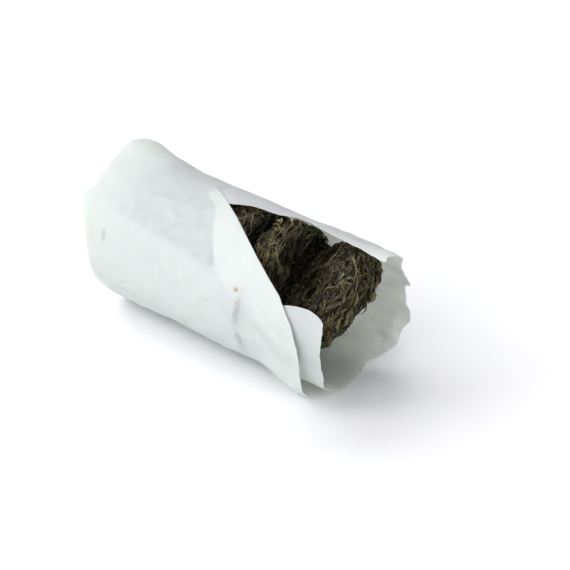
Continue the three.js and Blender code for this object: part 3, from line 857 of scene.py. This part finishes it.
leaf_coat = add_node(tree, "ShaderNodeBsdfPrincipled", {"Base Color": leaf_colour.outputs[2],
                     "Roughness": waxy, "Specular IOR Level": 0.14,
                     "Normal": ribs.outputs["Normal"]})
add_node(tree, "ShaderNodeOutputMaterial", {"Surface": leaf_coat.outputs["BSDF"]})
print("the leaf has", len(tree.nodes), "nodes")

# %% [markdown]
# ## The six coins
# Five coins still stand in a row in the paper and lean a little more towards the mouth, one by one.
# The sixth has toppled against the fifth: it is pressed flat where they touch and worn along its edge
# where it rubs on the paper. The coins deep inside only show dimly through the tissue, so they have
# fewer leaves.

# %% Where the coins lie
COIN_RADIUS = 19.4
# Deepest first: x of the face towards the mouth, turn and lean in degrees, thickness, number of
# leaves, and the painted shade that darkens the leaf's tone on the faces
STACK = [
    {"x": 9.3, "turn": 0, "lean": 0, "thickness": 9.3, "leaves": 320, "painted_face_shade": -0.1},
    {"x": 19.5, "turn": 1, "lean": 0, "thickness": 9.3, "leaves": 320, "painted_face_shade": -0.1},
    {"x": 29.8, "turn": 3, "lean": 0, "thickness": 9.3, "leaves": 420, "painted_face_shade": -0.2},
    {"x": 41.0, "turn": 6, "lean": 0, "thickness": 9.2, "leaves": 1200, "painted_face_shade": -0.2},
    {"x": 54.0, "turn": 8, "lean": -1.5, "thickness": 8.4, "leaves": 1400, "painted_face_shade": -0.2},
]
TOPPLED_FACE = Vector((62.9, -2.5, 27.2))
TOPPLED_NORMAL = Vector((-0.53, -0.39, 0.75)).normalized()
TOPPLED = {"radius": 19.2, "thickness": 8.5, "leaves": 1550, "painted_face_shade": -0.03}
PRESSED_IN = 4
NEIGHBOUR_GAP = 0.5
BORE_RADIUS = PAPER_RADIUS - 0.75
OPEN_BORE_RADIUS = PAPER_RADIUS - 0.3
# In mm: depth and size of the worn places on an edge, the room a coin leaves to the paper, and how
# much further its leaves may reach where the paper is torn away
RIM_WEAR = 1.6
RIM_WEAR_SIZE = 2.6
PAPER_CLEAR = 0.35
BARE_ROOM = 1.6


def stack_normal(pose):
    normal = Vector((1, 0, 0))
    normal.rotate(Matrix.Rotation(-math.radians(pose["lean"]), 3, "Y"))
    normal.rotate(Matrix.Rotation(math.radians(pose["turn"]), 3, "Z"))
    return normal


def stack_middle(pose):
    return Vector((pose["x"] - stack_normal(pose).x * pose["thickness"] / 2, 0, AXIS_HEIGHT))


print("coin middles:", [tuple(round(value, 1) for value in stack_middle(pose)) for pose in STACK])

# %% [markdown]
# A coin is strewn once for each face, and the back is the front turned over. Leaves and body become
# one mesh, set in place. What would stand out through the paper is pressed back unevenly, as an edge
# that rubs on its wrapper.

# %% Making a coin
FRONT_SHARE = 0.62
GAP_SHADE_TONE = 0.08


def strewn(random, count, radius, thickness, painted_face_shade):
    """All leaves of a coin's faces and side, with the back face strewn like the front."""
    side = thickness - 2 * EDGE_ROUND
    reach = radius - EDGE_ROUND + math.pi / 2 * EDGE_ROUND + FRONT_SHARE * side
    parts = []
    for flip, share in ((1, FRONT_SHARE), (-1, 1 - FRONT_SHARE)):
        for kind, sort in KINDS.items():
            some = max(4, round(count * share * sort["share"]))
            lift = (-0.35, 0.42) if kind != "bud" else (0.1, 0.5)
            points, tone, gold, grain = lay_leaves(random, kind, some, radius, thickness, reach, lift,
                                                   painted_face_shade)
            if flip < 0:
                points[:, 1:] *= -1
            parts.append((points, tone, gold, grain))
    return [np.concatenate(group) for group in zip(*parts)]


def make_coin(name, radius, thickness, count, painted_face_shade, middle, normal, seed):
    random = np.random.default_rng(seed)
    points, tone, gold, grain = strewn(random, count, radius, thickness, painted_face_shade)
    total = len(points) // len(blank_station)
    faces = [tuple(at + leaf * len(blank_station) for at in face)
             for leaf in range(total) for face in blank_faces]
    mesh = bpy.data.meshes.new(name)
    mesh.from_pydata(points, [], faces)
    add_values(mesh, "leaf_tone", "FLOAT", tone)
    add_values(mesh, "leaf_gold", "FLOAT", gold)
    add_values(mesh, "leaf_grain", "FLOAT_VECTOR", grain)
    leaves = bpy.data.objects.new(name, mesh)
    bpy.context.scene.collection.objects.link(leaves)
    body = coin_body(name + "_body", radius, thickness, seed)
    places = points_of(body.data)
    # The body's low tone is painted shade for the gaps between the leaves
    add_values(body.data, "leaf_tone", "FLOAT", np.full(len(places), GAP_SHADE_TONE))
    add_values(body.data, "leaf_gold", "FLOAT", np.zeros(len(places)))
    add_values(body.data, "leaf_grain", "FLOAT_VECTOR", places * 0.5)
    only(leaves)
    body.select_set(True)
    bpy.ops.object.join()
    turned = np.array(normal.to_track_quat("Z", "Y").to_matrix())
    placed = points_of(leaves.data) @ turned.T + np.array(middle)
    return leaves, placed


def keep_in_paper(placed, bore_radius):
    """Presses back what would stand out through the paper, but not where the paper is torn away."""
    across = placed[:, 1]
    up = placed[:, 2] - AXIS_HEIGHT
    distance = np.hypot(across, up)
    around = np.degrees(np.arctan2(-across, up)) % 360
    turned = around + 360 * (around < 180)
    bare = smooth_step(turned - along_line(TORN_TOP, placed[:, 0]), 0, 3)
    bare *= smooth_step(placed[:, 0] - along_line(FLAP_EDGE, turned), 0, 3)
    bare *= 1 - smooth_step(turned - 360 - along_line(SEAM, placed[:, 0]), -5, -2)
    worn = RIM_WEAR * np.maximum(noise_field(placed, RIM_WEAR_SIZE, 60.0), 0)
    bends = relief(around, placed[:, 0]) + mouth_bend(around, placed[:, 0])
    wall = np.minimum(bore_radius, PAPER_RADIUS + bends - PAPER_CLEAR)
    squeeze = np.minimum(1, (wall - worn + bare * BARE_ROOM) / np.maximum(distance, 1e-6))
    placed[:, 1] = across * squeeze
    placed[:, 2] = AXIS_HEIGHT + up * squeeze
    return placed


def finish_coin(coin, placed, node, bore_radius):
    move_points(coin.data, to_frame(keep_in_paper(placed, bore_radius)))
    coin.data.materials.append(leaf_finish)
    only(coin)
    bpy.ops.object.shade_smooth_by_angle(angle=math.radians(50))
    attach(coin, "root")
    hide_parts(node)
    print(coin.name, "has", sum(len(face.vertices) - 2 for face in coin.data.polygons), "triangles")


# %% [markdown]
# The five coins differ in pose, thickness and leaf, so one loop makes them. The fifth is pressed in
# under the toppled coin: what stands in that coin's way moves back along the fifth coin's own axis.

# %% The five coins in the row
toppled_middle = TOPPLED_FACE - TOPPLED_NORMAL * TOPPLED["thickness"] / 2
fifth_middle = np.array(stack_middle(STACK[-1]))
fifth_normal = np.array(stack_normal(STACK[-1]))
dent_floor = STACK[-1]["thickness"] / 2 - PRESSED_IN


def dented(placed):
    """Presses the fifth coin's face in where the toppled one leans on it."""
    normal = np.array(TOPPLED_NORMAL)
    away = placed - np.array(toppled_middle)
    height = away @ normal
    across = np.linalg.norm(away - height[:, None] * normal, axis=1)
    under = np.abs(height) < TOPPLED["thickness"] / 2 + NEIGHBOUR_GAP
    under &= across < TOPPLED["radius"] + NEIGHBOUR_GAP
    proud = np.maximum((placed - fifth_middle) @ fifth_normal - dent_floor, 0) * under
    return placed - proud[:, None] * fifth_normal


for index, pose in enumerate(STACK, start=1):
    coin, placed = make_coin(f"pressed_coin_{index}", COIN_RADIUS, pose["thickness"], pose["leaves"],
                             pose["painted_face_shade"], stack_middle(pose), stack_normal(pose), index)
    if pose is STACK[-1]:
        placed = dented(placed)
    finish_coin(coin, placed, f"tea_coin_{index}", BORE_RADIUS)

# %% [markdown]
# The toppled coin is made in the same way and is flattened where it leans on the fifth. It lies in the
# open mouth, so it reaches a little closer to the paper than the coins in the row.

# %% The toppled coin
coin, placed = make_coin("pressed_coin_6", TOPPLED["radius"], TOPPLED["thickness"], TOPPLED["leaves"],
                         TOPPLED["painted_face_shade"], toppled_middle, TOPPLED_NORMAL, 6)
past = np.minimum((placed - fifth_middle) @ fifth_normal - dent_floor - NEIGHBOUR_GAP, 0)
placed -= past[:, None] * fifth_normal
finish_coin(coin, placed, "tea_coin_6", OPEN_BORE_RADIUS)

# %% [markdown]
# ## Floor and light
# The photograph was taken on plain white with light from all round, so that the ground burns out to
# white and only a soft shadow stays under the roll. A bare white sky would light the inside of the
# mouth as much as the outside. So soft boxes stand in a ring round the table, strongest at the closed
# end and the front, as in a light tent, and a faint sky fills the rest.

# %% Floor, sky and soft boxes
bpy.ops.mesh.primitive_plane_add(size=8)
floor = bpy.context.object
floor.name = "floor"
floor_finish = new_material("white studio paper")
tree = floor_finish.node_tree
floor_coat = add_node(tree, "ShaderNodeBsdfPrincipled", {"Base Color": linear("#fbfcfc"),
                      "Roughness": 0.9, "Specular IOR Level": 0.2})
add_node(tree, "ShaderNodeOutputMaterial", {"Surface": floor_coat.outputs["BSDF"]})
floor.data.materials.append(floor_finish)

SKY_STRENGTH = 0.05
BOX_AWAY = 1.3
BOX_SIZE = 0.7
BOX_COLOUR = "#f7f6fb"
# Each soft box: degrees round from the mouth's side towards the back, degrees up, watts
SOFT_BOXES = {"closed_end": (180, 40, 4.8), "closed_front": (225, 40, 6.4),
              "closed_front_low": (225, 15, 1.8), "front": (270, 40, 2.6), "front_low": (270, 15, 3.8),
              "camera_side": (312, 55, 3.1), "mouth": (0, 40, 1.5), "mouth_low": (0, 15, 3.5),
              "closed_back": (135, 45, 5.8), "overhead": (0, 90, 3.2)}
world = bpy.data.worlds.new("studio")
world.use_nodes = True
world.node_tree.nodes.clear()
sky = add_node(world.node_tree, "ShaderNodeBackground", {"Color": linear("#fdffff"),
               "Strength": SKY_STRENGTH})
add_node(world.node_tree, "ShaderNodeOutputWorld", {"Surface": sky.outputs["Background"]})
bpy.context.scene.world = world
for name, (round_table, height, watts) in SOFT_BOXES.items():
    lamp = bpy.data.lights.new("soft_box_" + name, "AREA")
    lamp.energy = watts
    lamp.size = BOX_SIZE
    lamp.color = linear(BOX_COLOUR)[:3]
    box = bpy.data.objects.new("soft_box_" + name, lamp)
    around = math.radians(round_table)
    up = math.radians(height)
    towards = Vector((math.cos(up) * math.cos(around), math.cos(up) * math.sin(around), math.sin(up)))
    box.location = towards * BOX_AWAY
    box.rotation_euler = towards.to_track_quat("Z", "Y").to_euler()
    bpy.context.scene.collection.objects.link(box)
bpy.context.scene.view_settings.view_transform = "Standard"
print("sky strength", SKY_STRENGTH, "and", len(SOFT_BOXES), "soft boxes")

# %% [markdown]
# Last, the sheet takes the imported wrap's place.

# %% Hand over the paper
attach(paper, "root")
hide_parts("paper_wrap")
